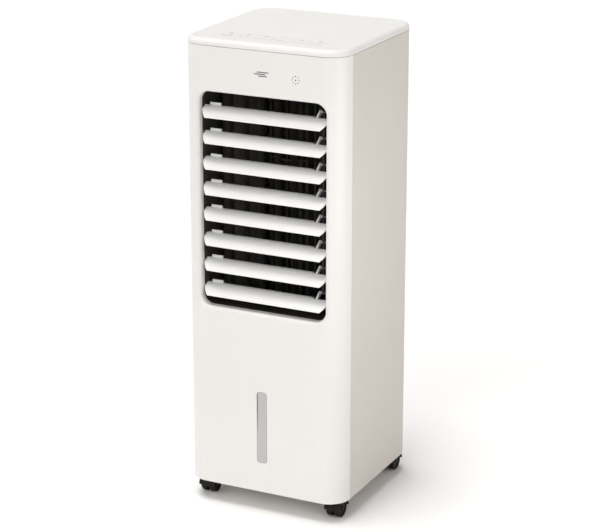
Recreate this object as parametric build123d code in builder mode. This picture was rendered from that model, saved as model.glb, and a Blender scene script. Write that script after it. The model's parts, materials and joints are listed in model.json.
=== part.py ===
"""Evaporative tower cooler, one solid per piece, in millimetres.

Frame: +X to the right of someone facing the front, the front faces -Y, +Z up.
The origin is on the floor, under the middle of the body.
"""

import os
from math import atan2, degrees, hypot

from build123d import *

os.makedirs("parts", exist_ok=True)

quarter_turn = 90

# Body shells
body_width = 246.0
body_depth = 244.0
body_bottom = 30.0
body_top = 680.0
corner_radius = 32.0
wall = 2.5
lid_height = 9.0
lid_edge_radius = 6.5
lid_wall = 4.7
seam_gap = 0.6
side_seam_gap = 0.4
front_y = -body_depth / 2
rear_y = body_depth / 2
inner_front_y = front_y + wall
inner_rear_y = rear_y - wall
seam_y = front_y + corner_radius
rear_seam_x = body_width / 2 - corner_radius
lid_bottom = body_top - lid_height
shell_top = lid_bottom - seam_gap
shell_height = shell_top - body_bottom

# Outlet opening and its lip
opening_half_width = 96.0
opening_bottom = 298.5
opening_top = 606.5
opening_radius = 15.0
opening_height = opening_top - opening_bottom
opening_middle = (opening_top + opening_bottom) / 2
lip_depth = 13.0
lip_wall = 2.5
lip_edge_radius = 6.0
edge_margin = 1.0

# Louvres: blade profile points are measured from the pivot, as (rearwards, up)
louvre_count = 8
louvre_pitch = 36.65
louvre_top_z = 580.5
louvre_y = front_y + 21.0
louvre_half_length = 95.4
blade_nose = (-17.5, -10.2)
blade_crown = (-7.45, -1.08)
blade_tail = (6.0, 0.8)
blade_half_thickness = 1.3
blade_corner_radius = 14.0
notch_start_x = 69.0
notch_end_x = 90.0
notch_y = -1.0
louvre_pin_radius = 2.0
running_clearance = 0.06
link_pin = (11.0, 8.0)
link_pin_radius = 1.3
link_bar_x = 79.5
link_bar_thickness = 2.6
link_bar_width = 5.0
arm_x = 74.0
arm_thickness = 2.8
hub_radius = 3.0
hub_length = 3.5
tab_start_x = -90.0
tab_length = 17.0
tab_height = 5.0
tab_thickness = 2.0
link_pin_reach = 0.6

# Outlet duct
duct_wall = 2.5
duct_bore_overrun = 2 * duct_wall
duct_front_y = front_y + lip_depth + 0.4
duct_rear_y = -50.0
duct_corner_radius = 3.0

# Vanes
vane_count = 7
vane_pitch = 25.0
vane_y = -68.0
vane_chord = 20.0
vane_thickness = 1.6
vane_end_gap = 2.5
vane_pin_radius = 1.5
vane_arm_length = 13.0
vane_arm_thickness = 2.5
vane_arm_width = 5.0
vane_link_pin_radius = 1.2
vane_link_gap = 1.0
vane_link_thickness = 3.0
vane_notch_height = 10.0
vane_notch_y = 3.0
crank_x = 12.5
crank_hub_radius = 4.0
crank_shaft_radius = 2.5
swing_motor_radius = 14.0
swing_motor_ear_span = 3 * swing_motor_radius
swing_motor_height = 19.0

# Blower
blower_y = -4.0
wheel_radius = 42.0
wheel_inner_radius = 33.0
wheel_bottom = 300.0
wheel_top = 604.0
wheel_disc_thickness = 2.5
wheel_disc_count = 4
blade_count = 24
fan_blade_thickness = 1.2
fan_blade_angle = 35.0
shaft_radius = 4.0
shaft_bottom = 258.0
shaft_top = 616.0
scroll_bottom = 292.0
scroll_top = 611.5
scroll_wall = 2.5
scroll_front_y = duct_rear_y + 0.5
scroll_rear_y = 46.0
scroll_half_width = 98.5
scroll_guide_middle = (76.0, 12.0)
scroll_guide_end_x = 32.0
scroll_tongue_middle = (-70.0, -41.0)
scroll_tongue_end = (-49.0, -24.0)
blower_motor_radius = 30.0
blower_motor_bottom = 244.0
blower_flange_radius = 40.0
blower_flange_thickness = 3.0
bearing_radius = 12.0
bearing_height = 6.0

# Cooling pad, its frame and the trough
pad_half_width = 80.0
pad_bottom = 300.0
pad_top = 606.0
pad_front_y = 54.0
pad_rear_y = 84.0
pad_frame_wall = 3.0
pad_gap = 0.3
trough_height = 16.0
trough_wall = 2.0
drip_count = 11
drip_pitch = 14.0
drip_radius = 1.5

# Rear inlet: opening, grille and filter
inlet_half_width = 84.0
inlet_bottom = 300.0
inlet_top = 606.0
inlet_radius = 6.0
panel_gap = 0.6
grille_thickness = 3.5
grille_rim_depth = 6.0
grille_rim_wall = 3.0
grille_slot_length = 48.0
grille_slot_height = 5.0
grille_slot_pitch_x = 54.0
grille_slot_pitch_z = 11.0
grille_rows = 24
grille_columns = 3
grille_slots_z = 441.0
pull_slot_width = 56.0
pull_slot_height = 12.0
pull_slot_z = 592.0
filter_thickness = 2.4
filter_border = 6.0
filter_mesh_thickness = 1.0

# Water tank
tank_half_width = 98.0
tank_bottom = 46.0
tank_top = 206.0
tank_front_y = front_y + 6.0
tank_corner_radius = 26.0
tank_wall = 2.5
pull_half_width = 45.0
pull_bottom = 150.0
pull_top = 180.0
pull_depth = 16.0
tank_face_gap = 0.1
tank_back_y = inner_rear_y - pull_depth - tank_face_gap
tank_middle_z = (tank_top + tank_bottom) / 2
bay_top = tank_top + panel_gap
bay_bottom = tank_bottom - panel_gap
bay_height = bay_top - bay_bottom
pull_middle_z = (pull_top + pull_bottom) / 2

# Pump and hose
pump_x = 74.0
pump_y = 62.0
pump_width = 36.0
pump_length = 40.0
pump_height = 44.0
riser_x = 89.5
riser_y = 68.0
riser_radius = 4.5
riser_bore_radius = 3.0
riser_gap = 2.0
hose_top_z = 652.0
hose_drop_x = 68.0
hose_bend_radius = 9.0

# Deck and base
deck_bottom = 212.0
deck_thickness = 2.5
plate_gap = 0.5
base_thickness = 2.5
rail_x = 60.0
rail_width = 6.0
rail_length = 200.0
skirt_width = 2 * (rear_seam_x - side_seam_gap)
skirt_overlap = 10.0
drain_radius = 6.0
drain_spacing = 90.0
hose_hole_radius = 5.5

# Casters
caster_x = 101.0
caster_y = 95.0
caster_trail = 7.0
caster_wheel_radius = 13.5
caster_wheel_width = 8.2
caster_wheel_gap = 0.6
caster_web = 3.6
caster_axle_radius = 2.0
caster_hub_radius = 7.0
caster_hub_recess = 1.4
tread_radius = 1.6
fork_hood_gap = 0.8
fork_hood_wall = 1.6
fork_hood_width = 24.0
fork_cap_radius = 8.5
fork_cap_bottom = 26.0
fork_cap_top = 29.6
stem_radius = 4.0
stem_length = 13.0
boss_radius = 7.0
boss_top = 44.5

# Water-level window
window_width = 15.4
window_bottom = 75.0
window_top = 182.0
window_radius = 4.0
window_gap = 0.2
window_flange = 3.0
window_flange_thickness = 1.4
window_height = window_top - window_bottom
window_middle = (window_top + window_bottom) / 2

# Remote receiver behind its ring of holes
receiver_x = 53.5
receiver_z = 636.0
receiver_ring_radius = 5.2
receiver_hole_count = 8
receiver_hole_radius = 0.85
receiver_eye_radius = 1.1
receiver_width = 13.0
receiver_depth = 8.0

# Keys and boards
key_count = 6
key_pitch = 27.0
key_y = front_y + 38.0
key_width = 22.0
key_length = 30.0
key_radius = 3.0
key_gap = 0.3
key_flange = 1.3
key_flange_thickness = 1.3
key_cap_thickness = 3.5
key_stem_radius = 3.0
key_stem_bottom = 667.0
board_top = 661.6
board_thickness = 1.6
board_width = 172.0
board_depth = 44.0
switch_size = 6.0
switch_top = 666.1
post_radius = 3.0
post_x = 81.0
post_y_offset = 18.5

# Cord gland and shell screws
gland_x = 75.0
gland_z = 250.0
gland_radius = 7.9
gland_bore_radius = 3.5
gland_length = 13.0
gland_flange_radius = 11.0
gland_flange_thickness = 2.4
gland_hole_radius = 8.0
screw_x = 76.0
screw_low_z = 224.0
screw_high_z = 640.0
screw_boss_radius = 5.0
screw_boss_length = 16.0
screw_head_radius = 3.4
screw_head_height = 1.6
screw_shank_radius = 1.6
screw_shank_length = 12.0
screw_clearance = 0.1
screw_rib_length = 50.0
screw_rib_thickness = 3.0
boss_front_y = inner_rear_y - screw_boss_length


def save(part, name):
    """Label a finished piece and write it under its own name."""
    part.label = name
    export_step(part, f"parts/{name}.step")


def body_outline(inset=0.0, mode=Mode.ADD):
    """The body's plan shape, moved inwards by inset."""
    RectangleRounded(
        body_width - 2 * inset,
        body_depth - 2 * inset,
        corner_radius - inset,
        mode=mode,
    )


def at_front(y):
    """A plane facing the front at depth y: its X is +X and its Y is +Z."""
    return Plane(origin=(0, y, 0), x_dir=(1, 0, 0), z_dir=(0, -1, 0))


def at_side(x, y=0.0, z=0.0):
    """A plane facing +X: its X is +Y and its Y is +Z, with its origin at (x, y, z)."""
    return Plane(origin=(x, y, z), x_dir=(0, 1, 0), z_dir=(1, 0, 0))


def at_level(z, x=0.0, y=0.0):
    """A level plane at height z with its origin at (x, y, z)."""
    return Plane(origin=(x, y, z))


def spaced(count, pitch):
    """Positions of a centred row."""
    return [(index - (count - 1) / 2) * pitch for index in range(count)]


louvre_levels = [louvre_top_z - index * louvre_pitch for index in range(louvre_count)]
vane_places = spaced(vane_count, vane_pitch)
key_places = spaced(key_count, key_pitch)
caster_places = {
    "front_left": (-caster_x, -caster_y),
    "front_right": (caster_x, -caster_y),
    "rear_left": (-caster_x, caster_y),
    "rear_right": (caster_x, caster_y),
}
screw_places = [(x, z) for x in (-screw_x, screw_x) for z in (screw_low_z, screw_high_z)]


# --- Shells -------------------------------------------------------------------------------

with BuildPart() as front_housing:
    with BuildSketch(Plane.XY.offset(body_bottom)):
        body_outline()
        body_outline(wall, mode=Mode.SUBTRACT)
        with Locations((0, seam_y + body_depth)):
            Rectangle(2 * body_width, 2 * body_depth, mode=Mode.SUBTRACT)
    extrude(amount=shell_height)
    # The lip is a frame behind the wall, trimmed to the body's outer surface
    with BuildSketch(at_front(front_y)):
        with Locations((0, opening_middle)):
            RectangleRounded(
                2 * (opening_half_width + lip_wall),
                opening_height + 2 * lip_wall,
                opening_radius + lip_wall,
            )
    extrude(amount=-lip_depth)
    with BuildSketch(Plane.XY.offset(body_bottom)):
        body_outline()
    extrude(amount=shell_height, mode=Mode.INTERSECT)
    with BuildSketch(at_front(front_y)):
        with Locations((0, opening_middle)):
            RectangleRounded(2 * opening_half_width, opening_height, opening_radius)
    extrude(amount=-2 * lip_depth, both=True, mode=Mode.SUBTRACT)
    opening_edge = front_housing.edges().filter_by(
        lambda edge: edge.center().Y < front_y + edge_margin
        and opening_bottom - edge_margin < edge.center().Z < opening_top + edge_margin
        and abs(edge.center().X) < opening_half_width + edge_margin
    )
    fillet(opening_edge, lip_edge_radius)
    with BuildSketch(at_front(front_y)):
        with Locations((0, window_middle)):
            RectangleRounded(window_width, window_height, window_radius)
        with Locations((receiver_x, receiver_z)):
            Circle(receiver_eye_radius)
            with PolarLocations(receiver_ring_radius, receiver_hole_count):
                Circle(receiver_hole_radius)
    extrude(amount=-2 * wall, mode=Mode.SUBTRACT)
save(front_housing.part, "front_housing")

for side, side_name in ((-1, "left"), (1, "right")):
    side_screws = [(side * screw_x, z) for z in (screw_low_z, screw_high_z)]
    with BuildPart() as side_panel:
        with BuildSketch(Plane.XY.offset(body_bottom)):
            body_outline()
            body_outline(wall, mode=Mode.SUBTRACT)
            with Locations((0, seam_y + side_seam_gap - body_depth)):
                Rectangle(2 * body_width, 2 * body_depth, mode=Mode.SUBTRACT)
            with Locations((side * (rear_seam_x - body_width), 0)):
                Rectangle(2 * body_width, 2 * body_depth, mode=Mode.SUBTRACT)
        extrude(amount=shell_height)
        # Screw bosses for the rear panel, each on a rib from the panel's curved edge
        with BuildSketch(at_front(boss_front_y)):
            with Locations(*side_screws):
                Circle(screw_boss_radius)
            with Locations(*[(side * (screw_x + screw_rib_length / 2), z) for _, z in side_screws]):
                Rectangle(screw_rib_length, screw_rib_thickness)
        extrude(amount=boss_front_y - inner_rear_y + screw_clearance)
        with BuildSketch(Plane.XY.offset(body_bottom)):
            body_outline()
        extrude(amount=shell_height, mode=Mode.INTERSECT)
        with BuildSketch(at_front(rear_y)):
            with Locations((0, tank_middle_z)):
                Rectangle(2 * (tank_half_width + panel_gap), bay_height)
        extrude(amount=corner_radius, mode=Mode.SUBTRACT)
        with BuildSketch(at_front(rear_y)):
            with Locations(*side_screws):
                Circle(screw_shank_radius + screw_clearance)
        extrude(amount=screw_boss_length, mode=Mode.SUBTRACT)
    save(side_panel.part, f"side_panel_{side_name}")

with BuildPart() as rear_panel:
    with BuildSketch(at_front(rear_y)):
        with Locations((0, (shell_top + bay_top) / 2)):
            Rectangle(2 * (rear_seam_x - side_seam_gap), shell_top - bay_top)
        with Locations((0, (inlet_top + inlet_bottom) / 2)):
            RectangleRounded(
                2 * inlet_half_width,
                inlet_top - inlet_bottom,
                inlet_radius,
                mode=Mode.SUBTRACT,
            )
        with Locations((gland_x, gland_z)):
            Circle(gland_hole_radius, mode=Mode.SUBTRACT)
    extrude(amount=wall)
    with BuildSketch(at_front(rear_y)):
        with Locations(*screw_places):
            Circle(screw_head_radius + screw_clearance)
    extrude(amount=screw_head_height + screw_clearance, mode=Mode.SUBTRACT)
    with BuildSketch(at_front(rear_y)):
        with Locations(*screw_places):
            Circle(screw_shank_radius + screw_clearance)
    extrude(amount=wall, mode=Mode.SUBTRACT)
save(rear_panel.part, "rear_panel")

with BuildPart() as top_cover:
    with BuildSketch(Plane.XY.offset(lid_bottom)):
        body_outline()
    extrude(amount=lid_height)
    fillet(top_cover.edges().group_by(Axis.Z)[-1], lid_edge_radius)
    with BuildSketch(Plane.XY.offset(lid_bottom)):
        body_outline(lid_wall)
    extrude(amount=lid_height - wall, mode=Mode.SUBTRACT)
    with BuildSketch(Plane.XY.offset(body_top - wall)):
        with Locations((-post_x, key_y - post_y_offset), (post_x, key_y - post_y_offset)):
            Circle(post_radius)
        with Locations((-post_x, key_y + post_y_offset), (post_x, key_y + post_y_offset)):
            Circle(post_radius)
    extrude(amount=board_top - body_top + wall)
    with BuildSketch(Plane.XY.offset(body_top)):
        with Locations(*[(x, key_y) for x in key_places]):
            RectangleRounded(
                key_width + 2 * key_gap, key_length + 2 * key_gap, key_radius + key_gap
            )
    extrude(amount=-2 * wall, mode=Mode.SUBTRACT)
save(top_cover.part, "top_cover")

with BuildPart() as base_plate:
    with BuildSketch(Plane.XY.offset(body_bottom)):
        body_outline(wall + plate_gap)
    extrude(amount=base_thickness)
    with BuildSketch(Plane.XY.offset(body_bottom)):
        with Locations(*caster_places.values()):
            Circle(boss_radius)
    extrude(amount=boss_top - body_bottom)
    with BuildSketch(Plane.XY.offset(body_bottom + base_thickness)):
        with Locations((-rail_x, 0), (rail_x, 0)):
            Rectangle(rail_width, rail_length)
    extrude(amount=tank_bottom - pad_gap - body_bottom - base_thickness)
    # The rear edge turns up into a strip that closes the body below the tank
    with BuildSketch(at_level(body_bottom, 0, rear_y)):
        Rectangle(skirt_width, skirt_overlap, align=(Align.CENTER, Align.MAX))
    extrude(amount=base_thickness)
    with BuildSketch(at_level(body_bottom, 0, rear_y)):
        Rectangle(skirt_width, wall, align=(Align.CENTER, Align.MAX))
    extrude(amount=bay_bottom - body_bottom)
    with BuildSketch(Plane.XY.offset(body_bottom)):
        with Locations(*caster_places.values()):
            Circle(stem_radius + running_clearance)
    extrude(amount=stem_length + running_clearance, mode=Mode.SUBTRACT)
save(base_plate.part, "base_plate")

with BuildPart() as deck:
    with BuildSketch(Plane.XY.offset(deck_bottom)):
        body_outline(wall + plate_gap)
        with Locations((riser_x, riser_y)):
            Circle(hose_hole_radius, mode=Mode.SUBTRACT)
        with Locations((-drain_spacing / 2, riser_y), (drain_spacing / 2, riser_y)):
            Circle(drain_radius, mode=Mode.SUBTRACT)
    extrude(amount=deck_thickness)
save(deck.part, "deck")

with BuildPart() as water_window:
    with BuildSketch(at_front(front_y)):
        with Locations((0, window_middle)):
            RectangleRounded(
                window_width - 2 * window_gap,
                window_height - 2 * window_gap,
                window_radius - window_gap,
            )
    extrude(amount=-wall)
    with BuildSketch(at_front(inner_front_y)):
        with Locations((0, window_middle)):
            RectangleRounded(
                window_width + 2 * window_flange,
                window_height + 2 * window_flange,
                window_radius + window_flange,
            )
    extrude(amount=-window_flange_thickness)
save(water_window.part, "water_window")

with BuildPart() as ir_receiver:
    with BuildSketch(at_front(inner_front_y + pad_gap)):
        with Locations((receiver_x, receiver_z)):
            RectangleRounded(receiver_width, receiver_width, key_radius)
    extrude(amount=-receiver_depth)
save(ir_receiver.part, "ir_receiver")

with BuildPart() as cord_gland:
    with BuildSketch(at_front(rear_y - pad_gap)):
        with Locations((gland_x, gland_z)):
            Circle(gland_radius)
    extrude(amount=gland_length)
    with BuildSketch(at_front(inner_rear_y - screw_clearance)):
        with Locations((gland_x, gland_z)):
            Circle(gland_flange_radius)
    extrude(amount=gland_flange_thickness)
    with BuildSketch(at_front(rear_y)):
        with Locations((gland_x, gland_z)):
            Circle(gland_bore_radius)
    extrude(amount=2 * gland_length, mode=Mode.SUBTRACT)
save(cord_gland.part, "cord_gland")

with BuildPart() as rear_screws:
    with BuildSketch(at_front(rear_y - screw_clearance)):
        with Locations(*screw_places):
            Circle(screw_head_radius)
    extrude(amount=screw_head_height - screw_clearance)
    with BuildSketch(at_front(rear_y - screw_head_height)):
        with Locations(*screw_places):
            Circle(screw_shank_radius)
    extrude(amount=screw_shank_length)
save(rear_screws.part, "rear_screws")


# --- Controls -----------------------------------------------------------------------------

for number, key_x in enumerate(key_places, start=1):
    with BuildPart() as button:
        with BuildSketch(at_level(body_top, key_x, key_y)):
            RectangleRounded(key_width, key_length, key_radius)
        extrude(amount=-key_cap_thickness)
        with BuildSketch(at_level(body_top - key_cap_thickness, key_x, key_y)):
            RectangleRounded(
                key_width + 2 * key_flange, key_length + 2 * key_flange, key_radius
            )
        extrude(amount=-key_flange_thickness)
        with BuildSketch(at_level(key_stem_bottom, key_x, key_y)):
            Circle(key_stem_radius)
        extrude(amount=body_top - key_cap_thickness - key_stem_bottom)
    save(button.part, f"button_{number}")

with BuildPart() as control_board:
    with BuildSketch(at_level(board_top, 0, key_y)):
        Rectangle(board_width, board_depth)
    extrude(amount=-board_thickness)
    with BuildSketch(at_level(board_top, 0, key_y)):
        with Locations(*[(x, 0) for x in key_places]):
            Rectangle(switch_size, switch_size)
    extrude(amount=switch_top - board_top)
save(control_board.part, "control_board")


# --- Outlet: duct, louvres and vanes ------------------------------------------------------

with BuildPart() as outlet_frame:
    with BuildSketch(at_front(duct_front_y)):
        with Locations((0, opening_middle)):
            RectangleRounded(
                2 * (opening_half_width + duct_wall),
                opening_height + 2 * duct_wall,
                duct_corner_radius + duct_wall,
            )
            RectangleRounded(
                2 * opening_half_width,
                opening_height,
                duct_corner_radius,
                mode=Mode.SUBTRACT,
            )
    extrude(amount=duct_front_y - duct_rear_y)
    with BuildSketch(Plane.YZ):
        with Locations(*[(louvre_y, z) for z in louvre_levels]):
            Circle(louvre_pin_radius + running_clearance)
    extrude(amount=body_width / 2, both=True, mode=Mode.SUBTRACT)
    with BuildSketch(Plane.XY.offset(opening_bottom - duct_bore_overrun)):
        with Locations(*[(x, vane_y) for x in vane_places]):
            Circle(vane_pin_radius + running_clearance)
    extrude(amount=opening_height + 2 * duct_bore_overrun, mode=Mode.SUBTRACT)
    with BuildSketch(Plane.XY.offset(opening_bottom - duct_bore_overrun)):
        with Locations((crank_x, vane_y)):
            Circle(crank_hub_radius)
    extrude(amount=duct_bore_overrun + duct_wall, mode=Mode.SUBTRACT)
save(outlet_frame.part, "outlet_frame")


def make_louvre(level):
    """One louvre: a cambered blade with end pins, a crank arm and a small tab."""
    nose_y, nose_z = blade_nose
    crown_y, crown_z = blade_crown
    tail_y, tail_z = blade_tail
    half = blade_half_thickness
    with BuildPart() as louvre:
        with BuildSketch(at_side(-louvre_half_length, louvre_y, level)):
            with BuildLine():
                upper = ThreePointArc(
                    (nose_y, nose_z + half), (crown_y, crown_z + half), (tail_y, tail_z + half)
                )
                tail = Line(upper @ 1, (tail_y, tail_z - half))
                lower = ThreePointArc(
                    tail @ 1, (crown_y, crown_z - half), (nose_y, nose_z - half)
                )
                ThreePointArc(lower @ 1, (nose_y - half, nose_z), upper @ 0)
            make_face()
        extrude(amount=2 * louvre_half_length)
        # Round the blade's front corners in plan
        with BuildSketch(at_level(level - louvre_pitch, 0, louvre_y)) as plan:
            with Locations((0, (nose_y - half + tail_y + half) / 2)):
                Rectangle(2 * louvre_half_length, tail_y - nose_y + 2 * half)
            fillet(plan.vertices().group_by(Axis.Y)[0], blade_corner_radius)
        extrude(amount=2 * louvre_pitch, mode=Mode.INTERSECT)
        # Notch the rear edge where the arm and the link bar are
        with BuildSketch(at_level(level - louvre_pitch, notch_start_x, louvre_y + notch_y)):
            Rectangle(notch_end_x - notch_start_x, louvre_pitch, align=(Align.MIN, Align.MIN))
        extrude(amount=2 * louvre_pitch, mode=Mode.SUBTRACT)
        for side in (-1, 1):
            with BuildSketch(at_side(side * (louvre_half_length - hub_length / 2), louvre_y, level)):
                Circle(hub_radius)
            extrude(amount=hub_length / 2, both=True)
        with BuildSketch(at_side(0, louvre_y, level)):
            Circle(louvre_pin_radius)
        extrude(amount=opening_half_width + duct_wall - pad_gap, both=True)
        with BuildSketch(at_side(arm_x, louvre_y, level)):
            arm_turn = degrees(atan2(link_pin[1], link_pin[0]))
            with Locations(Location((link_pin[0] / 2, link_pin[1] / 2), arm_turn)):
                SlotCenterToCenter(hypot(*link_pin), link_bar_width)
        extrude(amount=arm_thickness)
        with BuildSketch(at_side(arm_x + arm_thickness, louvre_y, level)):
            with Locations(link_pin):
                Circle(link_pin_radius)
        extrude(amount=link_bar_x + link_bar_thickness - arm_x - arm_thickness + link_pin_reach)
        with BuildSketch(at_side(tab_start_x, louvre_y, level)):
            with Locations((tail_y - tab_thickness / 2, tail_z + tab_height / 2)):
                Rectangle(tab_thickness, tab_height)
        extrude(amount=tab_length)
    return louvre.part


for number, louvre_level in enumerate(louvre_levels, start=1):
    save(make_louvre(louvre_level), f"louvre_{number}")

with BuildPart() as louvre_link:
    with BuildSketch(at_side(link_bar_x, louvre_y + link_pin[0], link_pin[1])):
        with Locations(Location((0, (louvre_levels[0] + louvre_levels[-1]) / 2), quarter_turn)):
            SlotCenterToCenter(louvre_levels[0] - louvre_levels[-1], link_bar_width)
        with Locations(*[(0, z) for z in louvre_levels]):
            Circle(link_pin_radius + running_clearance, mode=Mode.SUBTRACT)
    extrude(amount=link_bar_thickness)
save(louvre_link.part, "louvre_link")

vane_bottom = opening_bottom + vane_end_gap
vane_top = opening_top - vane_end_gap
arm_top = vane_bottom + vane_arm_thickness
vane_link_bottom = arm_top + vane_link_gap


def make_vane_arm(x):
    """The crank arm and its upright pin, shared by the vanes and the motor's crank."""
    with BuildPart() as vane_arm:
        with BuildSketch(at_level(vane_bottom, x, vane_y)):
            with Locations(Location((0, vane_arm_length / 2), quarter_turn)):
                SlotCenterToCenter(vane_arm_length, vane_arm_width)
        extrude(amount=vane_arm_thickness)
        with BuildSketch(at_level(arm_top, x, vane_y + vane_arm_length)):
            Circle(vane_link_pin_radius)
        extrude(amount=vane_link_gap + vane_link_thickness + vane_link_gap)
    return vane_arm.part


for number, vane_x in enumerate(vane_places, start=1):
    vane_arm = make_vane_arm(vane_x)
    with BuildPart() as vane:
        with BuildSketch(at_level(vane_bottom, vane_x, vane_y)):
            Ellipse(vane_thickness / 2, vane_chord / 2)
        extrude(amount=vane_top - vane_bottom)
        with BuildSketch(at_level(vane_bottom, vane_x, vane_y)):
            with Locations((0, vane_notch_y + vane_chord / 2)):
                Rectangle(vane_chord, vane_chord)
        extrude(amount=vane_notch_height, mode=Mode.SUBTRACT)
        add(vane_arm)
        with BuildSketch(at_level(opening_bottom - duct_wall, vane_x, vane_y)):
            Circle(vane_pin_radius)
        extrude(amount=duct_wall + vane_end_gap + vane_arm_thickness)
        with BuildSketch(at_level(vane_top - vane_arm_thickness, vane_x, vane_y)):
            Circle(vane_pin_radius)
        extrude(amount=vane_arm_thickness + vane_end_gap + duct_wall)
    save(vane.part, f"vane_{number}")

crank_arm = make_vane_arm(crank_x)
with BuildPart() as swing_crank:
    with BuildSketch(at_level(vane_bottom, crank_x, vane_y)):
        Circle(crank_hub_radius)
    extrude(amount=vane_arm_thickness)
    add(crank_arm)
    with BuildSketch(at_level(vane_bottom, crank_x, vane_y)):
        Circle(crank_shaft_radius)
    extrude(amount=-vane_end_gap - 2 * duct_wall)
save(swing_crank.part, "swing_crank")

with BuildPart() as vane_link:
    with BuildSketch(at_level(vane_link_bottom, 0, vane_y + vane_arm_length)):
        SlotCenterToCenter(vane_places[-1] - vane_places[0], vane_arm_width)
        with Locations(*[(x, 0) for x in vane_places + [crank_x]]):
            Circle(vane_link_pin_radius + running_clearance, mode=Mode.SUBTRACT)
    extrude(amount=vane_link_thickness)
save(vane_link.part, "vane_link")

with BuildPart() as swing_motor:
    motor_top = opening_bottom - duct_wall
    with BuildSketch(at_level(motor_top, crank_x, vane_y)):
        Circle(swing_motor_radius)
    extrude(amount=-swing_motor_height)
    with BuildSketch(at_level(motor_top, crank_x, vane_y)):
        SlotOverall(swing_motor_ear_span, crank_hub_radius * 2)
    extrude(amount=-board_thickness)
    with BuildSketch(at_level(motor_top, crank_x, vane_y)):
        Circle(crank_shaft_radius + running_clearance)
    extrude(amount=-duct_wall - vane_link_gap, mode=Mode.SUBTRACT)
save(swing_motor.part, "swing_motor")


# --- Blower -------------------------------------------------------------------------------

with BuildPart() as scroll_housing:
    for plate_level in (scroll_bottom, scroll_top - scroll_wall):
        with BuildSketch(at_level(plate_level)):
            with Locations((0, (scroll_front_y + scroll_rear_y) / 2)):
                Rectangle(2 * scroll_half_width, scroll_rear_y - scroll_front_y)
            with Locations((0, blower_y)):
                Circle(crank_hub_radius + duct_wall, mode=Mode.SUBTRACT)
        extrude(amount=scroll_wall)
    with BuildSketch(at_level(scroll_bottom)):
        with BuildLine():
            ThreePointArc(
                (scroll_half_width - scroll_wall / 2, scroll_front_y + scroll_wall / 2),
                scroll_guide_middle,
                (scroll_guide_end_x, scroll_rear_y - scroll_wall / 2),
            )
        trace(line_width=scroll_wall)
        with BuildLine():
            ThreePointArc(
                (-scroll_half_width + scroll_wall / 2, scroll_front_y + scroll_wall / 2),
                scroll_tongue_middle,
                scroll_tongue_end,
            )
        trace(line_width=scroll_wall)
    extrude(amount=scroll_top - scroll_bottom)
save(scroll_housing.part, "scroll_housing")

with BuildPart() as blower_wheel:
    disc_step = (wheel_top - wheel_bottom - wheel_disc_thickness) / (wheel_disc_count - 1)
    for disc_index in range(wheel_disc_count):
        disc_level = wheel_bottom + disc_index * disc_step
        is_end = disc_index in (0, wheel_disc_count - 1)
        with BuildSketch(at_level(disc_level, 0, blower_y)):
            Circle(wheel_radius)
            Circle(shaft_radius if is_end else wheel_inner_radius, mode=Mode.SUBTRACT)
        extrude(amount=wheel_disc_thickness)
    with BuildSketch(at_level(wheel_bottom, 0, blower_y)):
        with PolarLocations((wheel_radius + wheel_inner_radius) / 2, blade_count):
            Rectangle(
                wheel_radius - wheel_inner_radius - fan_blade_thickness,
                fan_blade_thickness,
                rotation=fan_blade_angle,
            )
    extrude(amount=wheel_top - wheel_bottom)
save(blower_wheel.part, "blower_wheel")

with BuildPart() as blower_shaft:
    with BuildSketch(at_level(shaft_bottom, 0, blower_y)):
        Circle(shaft_radius)
    extrude(amount=shaft_top - shaft_bottom)
save(blower_shaft.part, "blower_shaft")

with BuildPart() as blower_motor:
    with BuildSketch(at_level(blower_motor_bottom, 0, blower_y)):
        Circle(blower_motor_radius)
    extrude(amount=scroll_bottom - blower_motor_bottom)
    fillet(blower_motor.edges().group_by(Axis.Z)[0], lid_edge_radius)
    with BuildSketch(at_level(scroll_bottom, 0, blower_y)):
        Circle(blower_flange_radius)
    extrude(amount=-blower_flange_thickness)
    with BuildSketch(at_level(shaft_bottom - running_clearance, 0, blower_y)):
        Circle(shaft_radius + running_clearance)
    extrude(amount=scroll_bottom - shaft_bottom + wall, mode=Mode.SUBTRACT)
save(blower_motor.part, "blower_motor")

with BuildPart() as wheel_bearing:
    with BuildSketch(at_level(scroll_top, 0, blower_y)):
        Circle(bearing_radius)
        Circle(shaft_radius + running_clearance, mode=Mode.SUBTRACT)
    extrude(amount=bearing_height)
    fillet(wheel_bearing.edges().group_by(Axis.Z)[-1].sort_by(SortBy.RADIUS)[-1], duct_wall)
save(wheel_bearing.part, "wheel_bearing")


# --- Cooling pad and water ----------------------------------------------------------------

pad_middle_y = (pad_front_y + pad_rear_y) / 2
pad_middle_z = (pad_bottom + pad_top) / 2
pad_depth = pad_rear_y - pad_front_y
frame_top = pad_top + pad_gap + pad_frame_wall
drip_places = [(x, pad_middle_y) for x in spaced(drip_count, drip_pitch)]

with BuildPart() as cooling_pad:
    with BuildSketch(at_front(pad_rear_y)):
        with Locations((0, pad_middle_z)):
            Rectangle(2 * pad_half_width, pad_top - pad_bottom)
    extrude(amount=pad_depth)
save(cooling_pad.part, "cooling_pad")

with BuildPart() as pad_frame:
    with BuildSketch(at_front(pad_rear_y)):
        with Locations((0, pad_middle_z)):
            Rectangle(
                2 * (pad_half_width + pad_gap + pad_frame_wall),
                pad_top - pad_bottom + 2 * (pad_gap + pad_frame_wall),
            )
            Rectangle(
                2 * (pad_half_width + pad_gap),
                pad_top - pad_bottom + 2 * pad_gap,
                mode=Mode.SUBTRACT,
            )
    extrude(amount=pad_depth)
    with BuildSketch(at_level(pad_top)):
        with Locations(*drip_places):
            Circle(drip_radius)
    extrude(amount=frame_top - pad_top + wall, mode=Mode.SUBTRACT)
save(pad_frame.part, "pad_frame")

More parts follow.
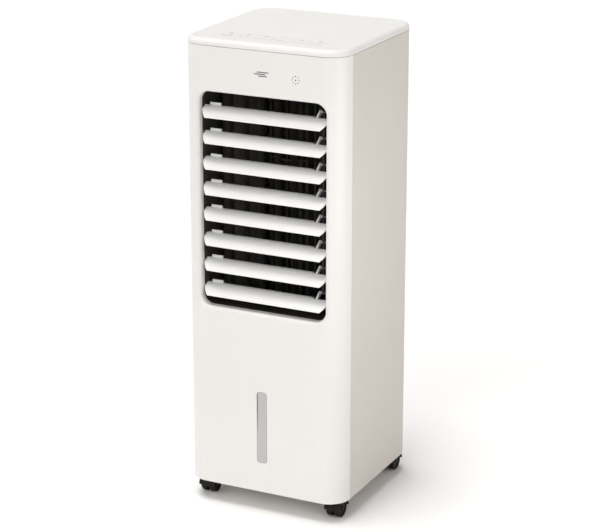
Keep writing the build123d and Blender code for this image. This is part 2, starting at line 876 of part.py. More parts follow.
with BuildPart() as drip_trough:
    with BuildSketch(at_level(frame_top)):
        with Locations((0, pad_middle_y)):
            Rectangle(2 * pad_half_width, pad_depth)
    extrude(amount=trough_height)
    with BuildSketch(at_level(frame_top + trough_wall)):
        with Locations((0, pad_middle_y)):
            Rectangle(2 * (pad_half_width - trough_wall), pad_depth - 2 * trough_wall)
    extrude(amount=trough_height, mode=Mode.SUBTRACT)
    with BuildSketch(at_level(frame_top)):
        with Locations(*drip_places):
            Circle(drip_radius)
    extrude(amount=trough_wall, mode=Mode.SUBTRACT)
save(drip_trough.part, "drip_trough")

with BuildPart() as water_tank:
    with BuildSketch(at_level(tank_bottom)) as tank_plan:
        with Locations((0, (tank_front_y + inner_rear_y) / 2)):
            Rectangle(2 * tank_half_width, inner_rear_y - screw_clearance - tank_front_y)
        fillet(tank_plan.vertices().group_by(Axis.Y)[0], tank_corner_radius)
    extrude(amount=tank_top - tank_bottom)
    inside_back_y = tank_back_y - tank_wall
    inside_front_y = tank_front_y + tank_wall
    with BuildSketch(at_level(tank_bottom + tank_wall)) as tank_inside:
        with Locations((0, (inside_front_y + inside_back_y) / 2)):
            Rectangle(2 * (tank_half_width - tank_wall), inside_back_y - inside_front_y)
        fillet(tank_inside.vertices().group_by(Axis.Y)[0], tank_corner_radius - tank_wall)
    extrude(amount=tank_top - tank_bottom, mode=Mode.SUBTRACT)
    # Dry space behind the back wall for the finger recess of the tank's face
    with BuildSketch(at_level(tank_bottom + tank_wall, 0, tank_back_y)):
        Rectangle(
            2 * (tank_half_width - tank_wall), corner_radius, align=(Align.CENTER, Align.MIN)
        )
    extrude(amount=tank_top - tank_bottom, mode=Mode.SUBTRACT)
save(water_tank.part, "water_tank")

with BuildPart() as tank_face:
    with BuildSketch(at_front(rear_y)):
        with Locations((0, tank_middle_z)):
            Rectangle(2 * tank_half_width, tank_top - tank_bottom)
    extrude(amount=wall)
    with BuildSketch(at_level(tank_bottom)):
        body_outline()
    extrude(amount=tank_top - tank_bottom, mode=Mode.INTERSECT)
    with BuildSketch(at_front(inner_rear_y)):
        with Locations((0, pull_middle_z)):
            Rectangle(
                2 * (pull_half_width + tank_wall), pull_top - pull_bottom + 2 * tank_wall
            )
    extrude(amount=pull_depth)
    with BuildSketch(at_front(rear_y)):
        with Locations((0, pull_middle_z)):
            RectangleRounded(2 * pull_half_width, pull_top - pull_bottom, inlet_radius)
    extrude(amount=pull_depth, mode=Mode.SUBTRACT)
save(tank_face.part, "tank_face")

with BuildPart() as pump:
    pump_bottom = tank_bottom + tank_wall
    with BuildSketch(at_level(pump_bottom, pump_x, pump_y)):
        RectangleRounded(pump_width, pump_length, key_radius)
    extrude(amount=pump_height)
    with BuildSketch(at_level(pump_bottom + pump_height / 2, riser_x, riser_y)):
        Circle(riser_radius)
    extrude(amount=tank_top - pad_gap - pump_bottom - pump_height / 2)
    with BuildSketch(at_level(pump_bottom + pump_height / 2, riser_x, riser_y)):
        Circle(riser_bore_radius)
    extrude(amount=tank_top, mode=Mode.SUBTRACT)
save(pump.part, "pump")

with BuildPart() as pump_hose:
    with BuildLine():
        FilletPolyline(
            (riser_x, riser_y, tank_top + riser_gap),
            (riser_x, riser_y, hose_top_z),
            (hose_drop_x, riser_y, hose_top_z),
            (hose_drop_x, riser_y, frame_top + trough_height / 2),
            radius=hose_bend_radius,
        )
    with BuildSketch(at_level(tank_top + riser_gap, riser_x, riser_y)):
        Circle(riser_radius)
        Circle(riser_bore_radius, mode=Mode.SUBTRACT)
    sweep()
save(pump_hose.part, "pump_hose")


# --- Rear inlet ---------------------------------------------------------------------------

grille_half_width = inlet_half_width - panel_gap
grille_bottom = inlet_bottom + panel_gap
grille_top = inlet_top - panel_gap
grille_middle_z = (grille_bottom + grille_top) / 2
grille_height = grille_top - grille_bottom
rim_front_y = rear_y - grille_thickness - grille_rim_depth
filter_half_width = grille_half_width - grille_rim_wall - pad_gap
filter_height = grille_height - 2 * (grille_rim_wall + pad_gap)

with BuildPart() as rear_grille:
    with BuildSketch(at_front(rear_y)):
        with Locations((0, grille_middle_z)):
            RectangleRounded(2 * grille_half_width, grille_height, inlet_radius - panel_gap)
    extrude(amount=grille_thickness)
    with BuildSketch(at_front(rear_y - grille_thickness)):
        with Locations((0, grille_middle_z)):
            RectangleRounded(2 * grille_half_width, grille_height, inlet_radius - panel_gap)
            Rectangle(
                2 * (grille_half_width - grille_rim_wall),
                grille_height - 2 * grille_rim_wall,
                mode=Mode.SUBTRACT,
            )
    extrude(amount=grille_rim_depth)
    with BuildSketch(at_front(rear_y)):
        with Locations((0, grille_slots_z)):
            with GridLocations(
                grille_slot_pitch_x, grille_slot_pitch_z, grille_columns, grille_rows
            ):
                SlotOverall(grille_slot_length, grille_slot_height)
        with Locations((0, pull_slot_z)):
            SlotOverall(pull_slot_width, pull_slot_height)
    extrude(amount=grille_thickness, mode=Mode.SUBTRACT)
save(rear_grille.part, "rear_grille")

with BuildPart() as dust_filter:
    with BuildSketch(at_front(rim_front_y + filter_thickness)):
        with Locations((0, grille_middle_z)):
            Rectangle(2 * filter_half_width, filter_height)
            Rectangle(
                2 * (filter_half_width - filter_border),
                filter_height - 2 * filter_border,
                mode=Mode.SUBTRACT,
            )
    extrude(amount=filter_thickness)
    with BuildSketch(at_front(rim_front_y + filter_thickness / 2 + filter_mesh_thickness / 2)):
        with Locations((0, grille_middle_z)):
            Rectangle(2 * filter_half_width, filter_height)
    extrude(amount=filter_mesh_thickness)
save(dust_filter.part, "dust_filter")


# --- Casters ------------------------------------------------------------------------------


def make_caster_fork(x, y):
    """Stem, cap, middle web and half-round hood of one caster."""
    axle_y = y + caster_trail
    hood_inside = caster_wheel_radius + fork_hood_gap
    with BuildPart() as fork:
        with BuildSketch(at_level(fork_cap_bottom, x, y)):
            Circle(fork_cap_radius)
        extrude(amount=fork_cap_top - fork_cap_bottom)
        with BuildSketch(at_level(fork_cap_top, x, y)):
            Circle(stem_radius)
        extrude(amount=body_bottom + stem_length - fork_cap_top)
        with BuildSketch(at_side(x, axle_y, caster_wheel_radius)):
            Circle(hood_inside + fork_hood_wall)
            Circle(hood_inside, mode=Mode.SUBTRACT)
            with Locations((0, -hood_inside)):
                Rectangle(4 * hood_inside, 2 * hood_inside, mode=Mode.SUBTRACT)
        extrude(amount=fork_hood_width / 2, both=True)
        # The cap is cut away where the wheels turn under the hood
        with BuildSketch(at_side(x, axle_y, caster_wheel_radius)):
            Circle(hood_inside)
        extrude(amount=fork_hood_width / 2, both=True, mode=Mode.SUBTRACT)
        with BuildSketch(at_side(x, axle_y, caster_wheel_radius)):
            Circle(hood_inside)
            with Locations((0, -hood_inside)):
                Rectangle(2 * hood_inside, 2 * hood_inside - 2 * hub_radius, mode=Mode.SUBTRACT)
            Circle(hub_radius + caster_axle_radius)
            Circle(caster_axle_radius + running_clearance, mode=Mode.SUBTRACT)
        extrude(amount=caster_web / 2, both=True)
    return fork.part


def make_caster_wheels(x, y):
    """A pair of wheels joined by their axle."""
    axle_y = y + caster_trail
    inner_x = caster_web / 2 + caster_wheel_gap
    with BuildPart() as wheels:
        for side in (-1, 1):
            with BuildSketch(at_side(x + side * inner_x, axle_y, caster_wheel_radius)):
                Circle(caster_wheel_radius)
            extrude(amount=side * caster_wheel_width)
        rims = wheels.edges().filter_by(GeomType.CIRCLE)
        fillet(rims, tread_radius)
        for side in (-1, 1):
            outer_x = x + side * (inner_x + caster_wheel_width)
            with BuildSketch(at_side(outer_x, axle_y, caster_wheel_radius)):
                Circle(caster_wheel_radius - 2 * tread_radius)
                Circle(caster_hub_radius / 2, mode=Mode.SUBTRACT)
            extrude(amount=-side * caster_hub_recess, mode=Mode.SUBTRACT)
        with BuildSketch(at_side(x, axle_y, caster_wheel_radius)):
            Circle(caster_axle_radius)
        extrude(amount=inner_x + caster_wheel_gap, both=True)
    return wheels.part


for place, (stem_x, stem_y) in caster_places.items():
    save(make_caster_fork(stem_x, stem_y), f"caster_fork_{place}")
    save(make_caster_wheels(stem_x, stem_y), f"caster_wheels_{place}")
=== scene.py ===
"""Looks of the evaporative cooler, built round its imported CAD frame. Everything is in metres."""

import json
import math

import bmesh
import bpy
from mathutils import Matrix, Vector


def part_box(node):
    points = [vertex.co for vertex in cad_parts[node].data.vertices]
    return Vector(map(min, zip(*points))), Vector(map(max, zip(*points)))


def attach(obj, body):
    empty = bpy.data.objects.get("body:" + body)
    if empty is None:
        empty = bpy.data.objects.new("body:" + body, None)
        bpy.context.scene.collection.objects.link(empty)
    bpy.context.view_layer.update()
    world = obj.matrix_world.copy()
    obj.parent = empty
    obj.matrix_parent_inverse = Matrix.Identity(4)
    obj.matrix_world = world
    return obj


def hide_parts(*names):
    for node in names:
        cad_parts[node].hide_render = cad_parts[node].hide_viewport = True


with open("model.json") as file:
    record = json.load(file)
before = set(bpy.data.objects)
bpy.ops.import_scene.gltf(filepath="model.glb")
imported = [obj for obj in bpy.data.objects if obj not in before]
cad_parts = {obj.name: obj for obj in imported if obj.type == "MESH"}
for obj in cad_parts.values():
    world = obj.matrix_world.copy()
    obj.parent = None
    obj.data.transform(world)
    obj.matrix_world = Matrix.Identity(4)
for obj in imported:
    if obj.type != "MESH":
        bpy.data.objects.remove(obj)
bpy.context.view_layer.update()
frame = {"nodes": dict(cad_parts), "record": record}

NODES = frame["nodes"]
MM = 0.001

# Camera: distance and aim follow from the body's height
BODY_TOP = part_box("top_cover")[1].z
BODY_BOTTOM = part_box("front_housing")[0].z
BODY_HEIGHT = BODY_TOP - BODY_BOTTOM
CAMERA_AZIMUTH = math.radians(26.2)
CAMERA_ELEVATION = math.radians(17.9)
CAMERA_DISTANCE = 4.6 * BODY_HEIGHT
CAMERA_AIM_Z = BODY_BOTTOM + 0.4674 * BODY_HEIGHT
CAMERA_LENS = 125.1
CAMERA_SENSOR = 36.0

# Floor and lights
FLOOR_HALF = 80.0
SKY_STRENGTH = 0.3
SKY_COLOUR = (1.0, 0.995, 0.985, 1.0)
KEY_STRENGTH = 2.15
KEY_DIRECTION = (0.16, 0.05, -1.0)
KEY_SOFTNESS = 35.0
KEY_COLOUR = (1.0, 0.99, 0.98)
FILL_STRENGTH = 0.95
FILL_DIRECTION = (0.1, 1.0, -0.8)
FILL_SOFTNESS = 40.0
FILL_COLOUR = (1.0, 0.995, 0.99)
PANEL_SIZE = 0.35
PANEL_POWER = 0.6
PANEL_COLOUR = (1.0, 0.975, 0.94)
PANEL_PLACE = Vector((0.5, -0.22, 0.46))
PANEL_AIM = Vector((0.12, 0.0, 0.35))


# --- Stage --------------------------------------------------------------------------------


def make_camera():
    """A long lens at the front right, a little above the object's middle."""
    back = Vector(
        (
            math.sin(CAMERA_AZIMUTH) * math.cos(CAMERA_ELEVATION),
            -math.cos(CAMERA_AZIMUTH) * math.cos(CAMERA_ELEVATION),
            math.sin(CAMERA_ELEVATION),
        )
    )
    aim = Vector((0.0, 0.0, CAMERA_AIM_Z))
    camera = bpy.data.objects.new("camera", bpy.data.cameras.new("camera"))
    camera.data.sensor_width = CAMERA_SENSOR
    camera.data.lens = CAMERA_LENS
    camera.data.clip_end = 2 * FLOOR_HALF
    camera.location = aim + back * CAMERA_DISTANCE
    camera.rotation_euler = back.to_track_quat("Z", "Y").to_euler()
    bpy.context.scene.collection.objects.link(camera)
    bpy.context.scene.camera = camera


def make_light(name, energy, towards, angle, colour):
    """A sun that shines along the given direction; a wide angle, in degrees, makes it soft."""
    light = bpy.data.objects.new(name, bpy.data.lights.new(name, "SUN"))
    light.data.energy = energy
    light.data.angle = math.radians(angle)
    light.data.color = colour
    light.rotation_euler = Vector(towards).to_track_quat("-Z", "Y").to_euler()
    bpy.context.scene.collection.objects.link(light)


def make_side_light():
    """A soft panel beside the front right edge; the side grows darker away from it."""
    panel = bpy.data.lights.new("side_panel", "AREA")
    panel.shape = "SQUARE"
    panel.size = PANEL_SIZE
    panel.energy = PANEL_POWER
    panel.color = PANEL_COLOUR
    light = bpy.data.objects.new("side_panel", panel)
    light.location = PANEL_PLACE
    towards = PANEL_AIM - PANEL_PLACE
    light.rotation_euler = towards.to_track_quat("-Z", "Y").to_euler()
    bpy.context.scene.collection.objects.link(light)


def make_stage():
    """A pale floor under an even pale sky, with soft light from above, the front and the right."""
    world = bpy.data.worlds.new("studio")
    world.use_nodes = True
    background = world.node_tree.nodes["Background"]
    background.inputs["Color"].default_value = SKY_COLOUR
    background.inputs["Strength"].default_value = SKY_STRENGTH
    bpy.context.scene.world = world
    make_light("key", KEY_STRENGTH, KEY_DIRECTION, KEY_SOFTNESS, KEY_COLOUR)
    make_light("fill", FILL_STRENGTH, FILL_DIRECTION, FILL_SOFTNESS, FILL_COLOUR)
    make_side_light()

    mesh = bpy.data.meshes.new("floor")
    sides = ((-1, -1), (1, -1), (1, 1), (-1, 1))
    corners = [(x * FLOOR_HALF, y * FLOOR_HALF, 0.0) for x, y in sides]
    mesh.from_pydata(corners, [], [(0, 1, 2, 3)])
    floor = bpy.data.objects.new("floor", mesh)
    bpy.context.scene.collection.objects.link(floor)
    mesh.materials.append(floor_material())
    bpy.context.scene.view_settings.view_transform = "Standard"


# --- Materials ----------------------------------------------------------------------------

# Noise scales are in turns a metre
DRIFT_SCALE = 7.0
GLOSS_SCALE = 38.0
STREAK_SCALE = 160.0
STREAK_STRETCH = (1.0, 1.0, 0.25)
TURNING_SCALE = 400.0
TURNING_STRETCH = (1.0, 1.0, 0.08)
MOULD_DEPTH = 0.4 * MM
SCUFF_HEIGHT = 0.16
SCUFF_DARKNESS = 0.55
COAT_ROUGHNESS = 0.12

# The wave texture runs through this many radians a metre at scale 1
WAVE_RADIANS = 20.0
NET_PITCH = 2.2

# The window's painted recess shadow, a dark strip, in shares of the window's width and height
RECESS_SHADOW_SOLID = 0.17
RECESS_SHADOW_END = 0.26
RECESS_SHADOW_FADE_BOTTOM = 0.3
RECESS_SHADOW_FADE_TOP = 0.8
RECESS_SHADOW_COLOUR = (0.1, 0.102, 0.105, 1.0)


def new_material(name):
    """A node material with its node tree and Principled shader, a node maker and a noise maker."""
    material = bpy.data.materials.new(name)
    material.use_nodes = True
    tree = material.node_tree
    shader = tree.nodes["Principled BSDF"]

    def node(kind, **values):
        """A new node; each value is set on the node itself or else on its input of that name."""
        made = tree.nodes.new(kind)
        for key, value in values.items():
            if hasattr(made, key):
                setattr(made, key, value)
            else:
                made.inputs[key.replace("_", " ").title()].default_value = value
        return made

    def noise(scale, detail=4.0, roughness=0.5, stretch=(1.0, 1.0, 1.0)):
        """Noise in object space; stretch multiplies its scale along each axis."""
        place = tree.nodes.new("ShaderNodeTexCoord")
        mapping = tree.nodes.new("ShaderNodeMapping")
        mapping.inputs["Scale"].default_value = stretch
        tree.links.new(place.outputs["Object"], mapping.inputs["Vector"])
        texture = node("ShaderNodeTexNoise", scale=scale, detail=detail, roughness=roughness)
        tree.links.new(mapping.outputs["Vector"], texture.inputs["Vector"])
        return texture

    return material, tree, shader, node, noise


def floor_material():
    """Matt off-white, barely uneven."""
    material, tree, shader, node, noise = new_material("floor")
    grain = noise(3.0, 3.0)
    colour = node("ShaderNodeValToRGB")
    colour.color_ramp.elements[0].color = (0.93, 0.93, 0.92, 1.0)
    colour.color_ramp.elements[1].color = (0.96, 0.96, 0.955, 1.0)
    tree.links.new(grain.outputs["Fac"], colour.inputs["Fac"])
    tree.links.new(colour.outputs["Color"], shader.inputs["Base Color"])
    shader.inputs["Roughness"].default_value = 0.85
    shader.inputs["Specular IOR Level"].default_value = 0.2
    return material


def plastic(
    name,
    colour,
    roughness,
    shade=0.04,
    grain=900.0,
    relief=0.02,
    coat=0.0,
    scuffs=0.0,
    specular=0.5,
):
    """Moulded plastic: faint tone drift, uneven gloss, mould grain and scuffs low down."""
    material, tree, shader, node, noise = new_material(name)
    links = tree.links
    darker = [channel * (1.0 - shade) for channel in colour]

    drift = noise(DRIFT_SCALE, 5.0, 0.6)
    tone = node("ShaderNodeValToRGB")
    tone.color_ramp.elements[0].position = 0.3
    tone.color_ramp.elements[0].color = (*darker, 1.0)
    tone.color_ramp.elements[1].position = 0.7
    tone.color_ramp.elements[1].color = (*colour, 1.0)
    links.new(drift.outputs["Fac"], tone.inputs["Fac"])

    # Scuffs: fine streaks that fade out a hand's width above the floor
    place = node("ShaderNodeTexCoord")
    height = node("ShaderNodeSeparateXYZ")
    links.new(place.outputs["Object"], height.inputs["Vector"])
    low = node("ShaderNodeMapRange")
    low.inputs["From Min"].default_value = SCUFF_HEIGHT
    low.inputs["From Max"].default_value = 0.0
    links.new(height.outputs["Z"], low.inputs["Value"])
    streaks = noise(STREAK_SCALE, 6.0, 0.7, STREAK_STRETCH)
    worn = node("ShaderNodeMapRange")
    worn.inputs["From Min"].default_value = 0.56
    worn.inputs["From Max"].default_value = 0.78
    links.new(streaks.outputs["Fac"], worn.inputs["Value"])
    amount = node("ShaderNodeMath", operation="MULTIPLY")
    links.new(low.outputs["Result"], amount.inputs[0])
    links.new(worn.outputs["Result"], amount.inputs[1])
    faded = node("ShaderNodeMath", operation="MULTIPLY")
    links.new(amount.outputs["Value"], faded.inputs[0])
    faded.inputs[1].default_value = scuffs
    scuffed = node("ShaderNodeMix", data_type="RGBA")
    links.new(faded.outputs["Value"], scuffed.inputs["Factor"])
    links.new(tone.outputs["Color"], scuffed.inputs["A"])
    worn_colour = [SCUFF_DARKNESS * channel for channel in colour]
    scuffed.inputs["B"].default_value = (*worn_colour, 1.0)
    links.new(scuffed.outputs["Result"], shader.inputs["Base Color"])

    gloss = noise(GLOSS_SCALE, 4.0, 0.6)
    rough = node("ShaderNodeMapRange")
    rough.inputs["To Min"].default_value = roughness * 0.8
    rough.inputs["To Max"].default_value = min(1.0, roughness * 1.25)
    links.new(gloss.outputs["Fac"], rough.inputs["Value"])
    links.new(rough.outputs["Result"], shader.inputs["Roughness"])

    fine = noise(grain, 2.0, 0.5)
    bump = node("ShaderNodeBump")
    bump.inputs["Strength"].default_value = relief
    bump.inputs["Distance"].default_value = MOULD_DEPTH
    links.new(fine.outputs["Fac"], bump.inputs["Height"])
    links.new(bump.outputs["Normal"], shader.inputs["Normal"])
    shader.inputs["Specular IOR Level"].default_value = specular
    shader.inputs["Coat Weight"].default_value = coat
    shader.inputs["Coat Roughness"].default_value = COAT_ROUGHNESS
    return material


def metal(name, colour, roughness):
    """Machined steel with fine turning marks."""
    material, tree, shader, node, noise = new_material(name)
    marks = noise(TURNING_SCALE, 4.0, 0.6, TURNING_STRETCH)
    rough = node("ShaderNodeMapRange")
    rough.inputs["To Min"].default_value = roughness * 0.7
    rough.inputs["To Max"].default_value = roughness * 1.4
    tree.links.new(marks.outputs["Fac"], rough.inputs["Value"])
    tree.links.new(rough.outputs["Result"], shader.inputs["Roughness"])
    tone = node("ShaderNodeValToRGB")
    tone.color_ramp.elements[0].color = (*[0.8 * channel for channel in colour], 1.0)
    tone.color_ramp.elements[1].color = (*colour, 1.0)
    tree.links.new(marks.outputs["Fac"], tone.inputs["Fac"])
    tree.links.new(tone.outputs["Color"], shader.inputs["Base Color"])
    shader.inputs["Metallic"].default_value = 1.0
    return material


def window_material():
    """Grey plastic with a painted recess shadow: a dark strip along its left edge, fading out
    downwards.
    """
    material = plastic("window_grey", (0.52, 0.515, 0.5), 0.2, 0.06, coat=0.4)
    tree = material.node_tree
    shader = tree.nodes["Principled BSDF"]
    plain = shader.inputs["Base Color"].links[0].from_socket
    low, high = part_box("water_window")

    place = tree.nodes.new("ShaderNodeTexCoord")
    axes = tree.nodes.new("ShaderNodeSeparateXYZ")
    tree.links.new(place.outputs["Object"], axes.inputs["Vector"])
    # Painted recess shadow: darkest along the left edge, fading out to the right and downwards
    edge = tree.nodes.new("ShaderNodeMapRange")
    edge.interpolation_type = "SMOOTHSTEP"
    edge.inputs["From Min"].default_value = low.x + RECESS_SHADOW_END * (high.x - low.x)
    edge.inputs["From Max"].default_value = low.x + RECESS_SHADOW_SOLID * (high.x - low.x)
    tree.links.new(axes.outputs["X"], edge.inputs["Value"])
    above = tree.nodes.new("ShaderNodeMapRange")
    above.interpolation_type = "SMOOTHSTEP"
    above.inputs["From Min"].default_value = low.z + RECESS_SHADOW_FADE_BOTTOM * (high.z - low.z)
    above.inputs["From Max"].default_value = low.z + RECESS_SHADOW_FADE_TOP * (high.z - low.z)
    tree.links.new(axes.outputs["Z"], above.inputs["Value"])
    shade = tree.nodes.new("ShaderNodeMath")
    shade.operation = "MULTIPLY"
    tree.links.new(edge.outputs["Result"], shade.inputs[0])
    tree.links.new(above.outputs["Result"], shade.inputs[1])
    mixed = tree.nodes.new("ShaderNodeMix")
    mixed.data_type = "RGBA"
    mixed.inputs["B"].default_value = RECESS_SHADOW_COLOUR
    tree.links.new(shade.outputs["Value"], mixed.inputs["Factor"])
    tree.links.new(plain, mixed.inputs["A"])
    tree.links.new(mixed.outputs["Result"], shader.inputs["Base Color"])
    return material


def woven_material():
    """Black filter net: a fine square weave."""
    material = plastic("filter_net", (0.03, 0.03, 0.03), 0.75, 0.2, relief=0.1)
    add_pattern(material, NET_PITCH, 0.5, (0.09, 0.09, 0.088))
    return material


def add_pattern(material, pitch, share, colour):
    """Two crossed sets of threads, as colour and relief; share sets how thin they are."""
    tree = material.node_tree
    shader = tree.nodes["Principled BSDF"]
    plain = shader.inputs["Base Color"].links[0].from_socket
    place = tree.nodes.new("ShaderNodeTexCoord")
    waves = []
    for axis in ("X", "Z"):
        wave = tree.nodes.new("ShaderNodeTexWave")
        wave.bands_direction = axis
        wave.inputs["Scale"].default_value = math.tau / (WAVE_RADIANS * pitch * MM)
        tree.links.new(place.outputs["Object"], wave.inputs["Vector"])
        waves.append(wave)
    threads = tree.nodes.new("ShaderNodeMath")
    threads.operation = "MAXIMUM"
    tree.links.new(waves[0].outputs["Fac"], threads.inputs[0])
    tree.links.new(waves[1].outputs["Fac"], threads.inputs[1])
    cut = tree.nodes.new("ShaderNodeMapRange")
    cut.inputs["From Min"].default_value = share
    cut.inputs["From Max"].default_value = share + 0.3
    tree.links.new(threads.outputs["Value"], cut.inputs["Value"])
    mixed = tree.nodes.new("ShaderNodeMix")
    mixed.data_type = "RGBA"
    mixed.inputs["B"].default_value = (*colour, 1.0)
    tree.links.new(cut.outputs["Result"], mixed.inputs["Factor"])
    tree.links.new(plain, mixed.inputs["A"])
    tree.links.new(mixed.outputs["Result"], shader.inputs["Base Color"])
    relief = tree.nodes.new("ShaderNodeBump")
    relief.inputs["Strength"].default_value = 0.6
    relief.inputs["Distance"].default_value = 0.2 * pitch * MM
    tree.links.new(cut.outputs["Result"], relief.inputs["Height"])
    tree.links.new(shader.inputs["Normal"].links[0].from_socket, relief.inputs["Normal"])
    tree.links.new(relief.outputs["Normal"], shader.inputs["Normal"])


MATERIALS = {
    "casing_white": plastic(
        "casing_white", (0.825, 0.811, 0.785), 0.34, 0.02, scuffs=0.14, coat=0.15
    ),
    # Painted shade: side_white is a darker, warmer copy of the casing white, standing in for the
    # shade on the sides; its scuffs are wear
    "side_white": plastic(
        "side_white", (0.68, 0.638, 0.588), 0.46, 0.03, grain=1400.0, relief=0.06, scuffs=0.18
    ),
    # Painted light: louvre_white is a lighter copy of the casing white, making up for the shade
    # the louvres sit in
    "louvre_white": plastic("louvre_white", (0.955, 0.95, 0.94), 0.22, 0.01, coat=0.35),
    "black_plastic": plastic(
        "black_plastic", (0.045, 0.041, 0.036), 0.6, 0.2, relief=0.08, specular=0.3
    ),
    "key_white": plastic("key_white", (0.84, 0.83, 0.81), 0.42, 0.02, specular=0.25),
    "window_grey": window_material(),
    "tank_plastic": plastic("tank_plastic", (0.72, 0.75, 0.77), 0.3, 0.05),
    "grey_plastic": plastic("grey_plastic", (0.3, 0.305, 0.31), 0.5, 0.08, relief=0.05),
    "steel": metal("steel", (0.6, 0.6, 0.6), 0.3),
    "dark_steel": metal("dark_steel", (0.05, 0.05, 0.05), 0.5),
    "motor_metal": metal("motor_metal", (0.35, 0.36, 0.37), 0.45),
    "board_green": plastic("board_green", (0.03, 0.16, 0.06), 0.4, 0.2),
    "pad_brown": plastic("pad_brown", (0.36, 0.24, 0.12), 0.9, 0.4, grain=260.0, relief=0.5),
    "rubber_black": plastic("rubber_black", (0.02, 0.02, 0.02), 0.7, 0.2, relief=0.1),
    "hose_clear": plastic("hose_clear", (0.6, 0.61, 0.58), 0.35, 0.06),
}
CASTER_BLACK = plastic(
    "caster_black", (0.013, 0.012, 0.011), 0.5, 0.25, relief=0.1, scuffs=0.5, specular=0.2
)
PRINT_GREY = plastic("print_grey", (0.16, 0.16, 0.165), 0.5, 0.1)
PRINT_PALE = plastic("print_pale", (0.46, 0.46, 0.455), 0.5, 0.08)
FILTER_NET = woven_material()

def node_material(node_name, slot_name):
    """The slot's material, except where one piece looks different from its slot."""
    if node_name == "top_cover":
        return MATERIALS["key_white"]
    if node_name == "dust_filter":
        return FILTER_NET
    if node_name.startswith("caster_"):
        return CASTER_BLACK
    return MATERIALS[slot_name]


for part in frame["record"]["subparts"]:
    shown = NODES[part["node"]]
    shown.data.materials.clear()
    shown.data.materials.append(node_material(part["node"], part["material_slot"]))


# --- Cooling pad --------------------------------------------------------------------------

# A zigzag repeats once a flute height; the steps share out one flute and the pad's depth
FLUTE_HEIGHT = 14.0 * MM
FLUTE_SWING = 3.0 * MM
SHEET_PITCH = 6.6 * MM
SHEET_THICKNESS = 0.5 * MM
FLUTE_STEPS = 4
DEPTH_STEPS = 6


def triangle_wave(turns):
    """A zigzag between -1 and 1 that repeats once a turn."""
    return 4.0 * abs(turns - math.floor(turns + 0.5)) - 1.0


def make_pad():
    """Upright fluted sheets side by side; the flutes slope one way, then the other."""
    low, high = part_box("cooling_pad")
    bm = bmesh.new()
    reach = high.x - low.x - 2 * (FLUTE_SWING + SHEET_THICKNESS)
    sheet_count = int(reach / SHEET_PITCH) + 1
    row_count = round((high.z - low.z) / FLUTE_HEIGHT) * FLUTE_STEPS
    first_x = (low.x + high.x - (sheet_count - 1) * SHEET_PITCH) / 2
    for sheet in range(sheet_count):
        lean = 1 if sheet % 2 else -1
        rows = []
        for row in range(row_count + 1):
            up = row / row_count
            points = []
            for step in range(DEPTH_STEPS + 1):
                back = step / DEPTH_STEPS
                swing = triangle_wave(row / FLUTE_STEPS + lean * back)
                x = first_x + sheet * SHEET_PITCH + FLUTE_SWING * swing
                y = low.y + back * (high.y - low.y)
                points.append(bm.verts.new((x, y, low.z + up * (high.z - low.z))))
            rows.append(points)
        for below, above in zip(rows, rows[1:]):
            for step in range(DEPTH_STEPS):
                bm.faces.new((below[step], below[step + 1], above[step + 1], above[step]))
    mesh = bpy.data.meshes.new("fluted_pad")
    bm.to_mesh(mesh)
    bm.free()
    mesh.materials.append(MATERIALS["pad_brown"])
    pad = bpy.data.objects.new("fluted_pad", mesh)
    bpy.context.scene.collection.objects.link(pad)
    paper = pad.modifiers.new("paper", "SOLIDIFY")
    paper.thickness = SHEET_THICKNESS
    paper.offset = 0.0
    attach(pad, "casing")
    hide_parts("cooling_pad")


make_pad()


# --- Printed mark and legends, and painted shadow round the window ------------------------

PRINT_HEIGHT = 0.08 * MM
CAP_STEPS = 8

# The mark's level is its share of the height between the louvres and the lid's seam
MARK_LEVEL = 0.605
MARK_WIDTH = 1.5
MARK_BARS = ((2.7, -4.0, 12.5), (0.0, -8.5, 8.0), (-2.7, -1.5, 10.0))

# Levels on a key are shares of its depth; widths and lengths are in millimetres
SIGN_LEVEL = 0.78
SIGN_WIDTH = 0.7
DASH_LEVEL = 0.34
DASH_WIDTH = 1.0
DASH_HALF = 7.5

# The window's painted gap shadow, in millimetres; its line starts and ends just off the middle
WINDOW_FLANGE = 3.1
WINDOW_CORNER = 3.9
GAP_SHADOW_WIDTH = 0.5
GAP_SHADOW_END = 0.2


def arc(centre, radius, start, end, steps=20):
    """Points on an arc; angles in degrees, anticlockwise from +X."""
    turns = [math.radians(start + (end - start) * i / steps) for i in range(steps + 1)]
    return [(centre[0] + radius * math.cos(a), centre[1] + radius * math.sin(a)) for a in turns]


def stroke_outline(path, width):
    """The outline of a line drawn along an open path with a round-nosed pen."""
    points = [Vector(point) for point in path]
    half = width / 2
    sides = ([], [])
    for i, point in enumerate(points):
        along = (points[min(i + 1, len(points) - 1)] - points[max(i - 1, 0)]).normalized()
        across = Vector((-along.y, along.x))
        sides[0].append(point + across * half)
        sides[1].append(point - across * half)

    def cap(centre, start):
        first = math.atan2(start.y, start.x)
        turns = [first - math.pi * k / CAP_STEPS for k in range(1, CAP_STEPS)]
        return [centre + half * Vector((math.cos(a), math.sin(a))) for a in turns]

    head = cap(points[-1], sides[0][-1] - points[-1])
    tail = cap(points[0], sides[1][0] - points[0])
    return sides[0] + head + list(reversed(sides[1])) + tail


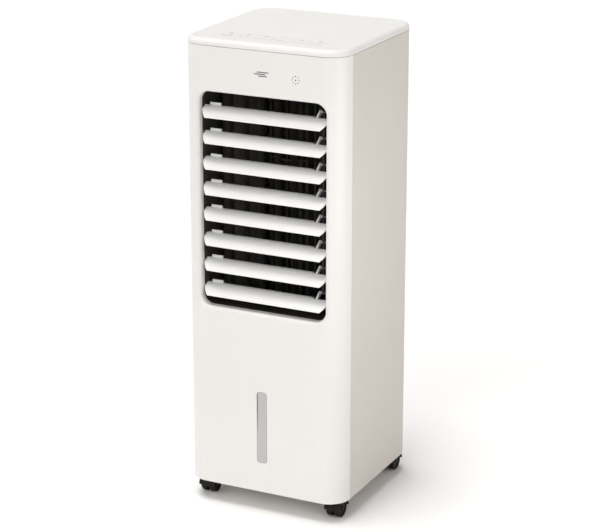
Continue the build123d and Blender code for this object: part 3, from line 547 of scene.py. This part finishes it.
def printed(name, paths, width, place, material, body):
    """Strokes of ink on a surface; paths and width in millimetres, place is a matrix."""
    bm = bmesh.new()
    for path in paths:
        outline = stroke_outline(path, width)
        corners = [bm.verts.new((x * MM, y * MM, -PRINT_HEIGHT)) for x, y in outline]
        face = bm.faces.new(corners)
        raised = bmesh.ops.extrude_face_region(bm, geom=[face], use_keep_orig=True)["geom"]
        top = [item for item in raised if isinstance(item, bmesh.types.BMVert)]
        bmesh.ops.translate(bm, verts=top, vec=(0.0, 0.0, 2 * PRINT_HEIGHT))
    bmesh.ops.recalc_face_normals(bm, faces=bm.faces)
    bmesh.ops.triangulate(bm, faces=bm.faces)
    bm.transform(place)
    mesh = bpy.data.meshes.new(name)
    bm.to_mesh(mesh)
    bm.free()
    mesh.materials.append(material)
    piece = bpy.data.objects.new(name, mesh)
    bpy.context.scene.collection.objects.link(piece)
    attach(piece, body)


def on_front(y, z):
    """The place on the upright front, at the body's middle and at height z."""
    return Matrix(((1, 0, 0, 0), (0, 0, -1, y), (0, 1, 0, z), (0, 0, 0, 1)))


def make_front_mark():
    """Three short staggered bars in the middle of the front, above the louvres."""
    lowest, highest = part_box("front_housing")
    outlet_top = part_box("louvre_1")[1].z
    height = outlet_top + MARK_LEVEL * (highest.z - outlet_top)
    paths = [[(start, level), (end, level)] for level, start, end in MARK_BARS]
    printed("front_mark", paths, MARK_WIDTH, on_front(lowest.y, height), PRINT_GREY, "casing")


def make_legends():
    """A small sign and a line on each key, drawn in millimetres about the sign's middle."""
    power = [arc((0.0, 0.0), 2.6, 125.0, 415.0), [(0.0, 0.8), (0.0, 3.4)]]
    fan = [
        arc((0.0, 1.3), 1.5, 270.0, 450.0),
        arc((0.0, -1.3), 1.5, 90.0, 270.0),
        arc((1.3, 0.0), 1.5, 180.0, 360.0),
        arc((-1.3, 0.0), 1.5, 0.0, 180.0),
    ]
    breeze = [[(-3.0, y), (3.0, y)] for y in (-1.8, 0.0, 1.8)]
    swing = [
        arc((0.0, -2.4), 5.0, 60.0, 120.0),
        [(-3.0, 2.9), (-2.5, 1.9)],
        [(3.0, 2.9), (2.5, 1.9)],
    ]
    bowl = arc((0.0, -0.8), 2.0, 160.0, 380.0, 16)
    drop = [[(0.0, 3.2), (-1.5, 0.6), *bowl, (1.5, 0.6), (0.0, 3.2)]]
    clock = [arc((0.0, 0.0), 2.8, 0.0, 350.0), [(0.0, 1.6), (0.0, 0.0), (1.3, -0.6)]]
    for number, sign in enumerate((power, fan, breeze, swing, drop, clock), 1):
        key = f"button_{number}"
        low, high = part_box(key)
        ink = PRINT_GREY if number == 1 else PRINT_PALE
        middle = (low.x + high.x) / 2
        sign_y = low.y + SIGN_LEVEL * (high.y - low.y)
        sign_place = Matrix.Translation((middle, sign_y, high.z))
        printed(f"sign_{number}", sign, SIGN_WIDTH, sign_place, ink, key)
        dash = [[(-DASH_HALF, 0.0), (DASH_HALF, 0.0)]]
        dash_y = low.y + DASH_LEVEL * (high.y - low.y)
        dash_place = Matrix.Translation((middle, dash_y, high.z))
        printed(f"dash_{number}", dash, DASH_WIDTH, dash_place, ink, key)


def make_window_gap_shadow():
    """A thin dark line of painted shadow in the gap between the window and the front."""
    low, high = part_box("water_window")
    half_width = (high.x - low.x) / MM / 2 - WINDOW_FLANGE
    half_height = (high.z - low.z) / MM / 2 - WINDOW_FLANGE
    path = [(GAP_SHADOW_END, -half_height)]
    for x, z, start in ((1, -1, 270.0), (1, 1, 0.0), (-1, 1, 90.0), (-1, -1, 180.0)):
        centre = (x * (half_width - WINDOW_CORNER), z * (half_height - WINDOW_CORNER))
        path += arc(centre, WINDOW_CORNER, start, start + 90.0, 6)
    path.append((-GAP_SHADOW_END, -half_height))
    place = on_front(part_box("front_housing")[0].y, (low.z + high.z) / 2)
    # Painted shadow: this dark ink line stands for the shade in the gap round the window
    printed("window_gap_shadow", [path], GAP_SHADOW_WIDTH, place, PRINT_GREY, "casing")


make_front_mark()
make_legends()
make_window_gap_shadow()
make_camera()
make_stage()
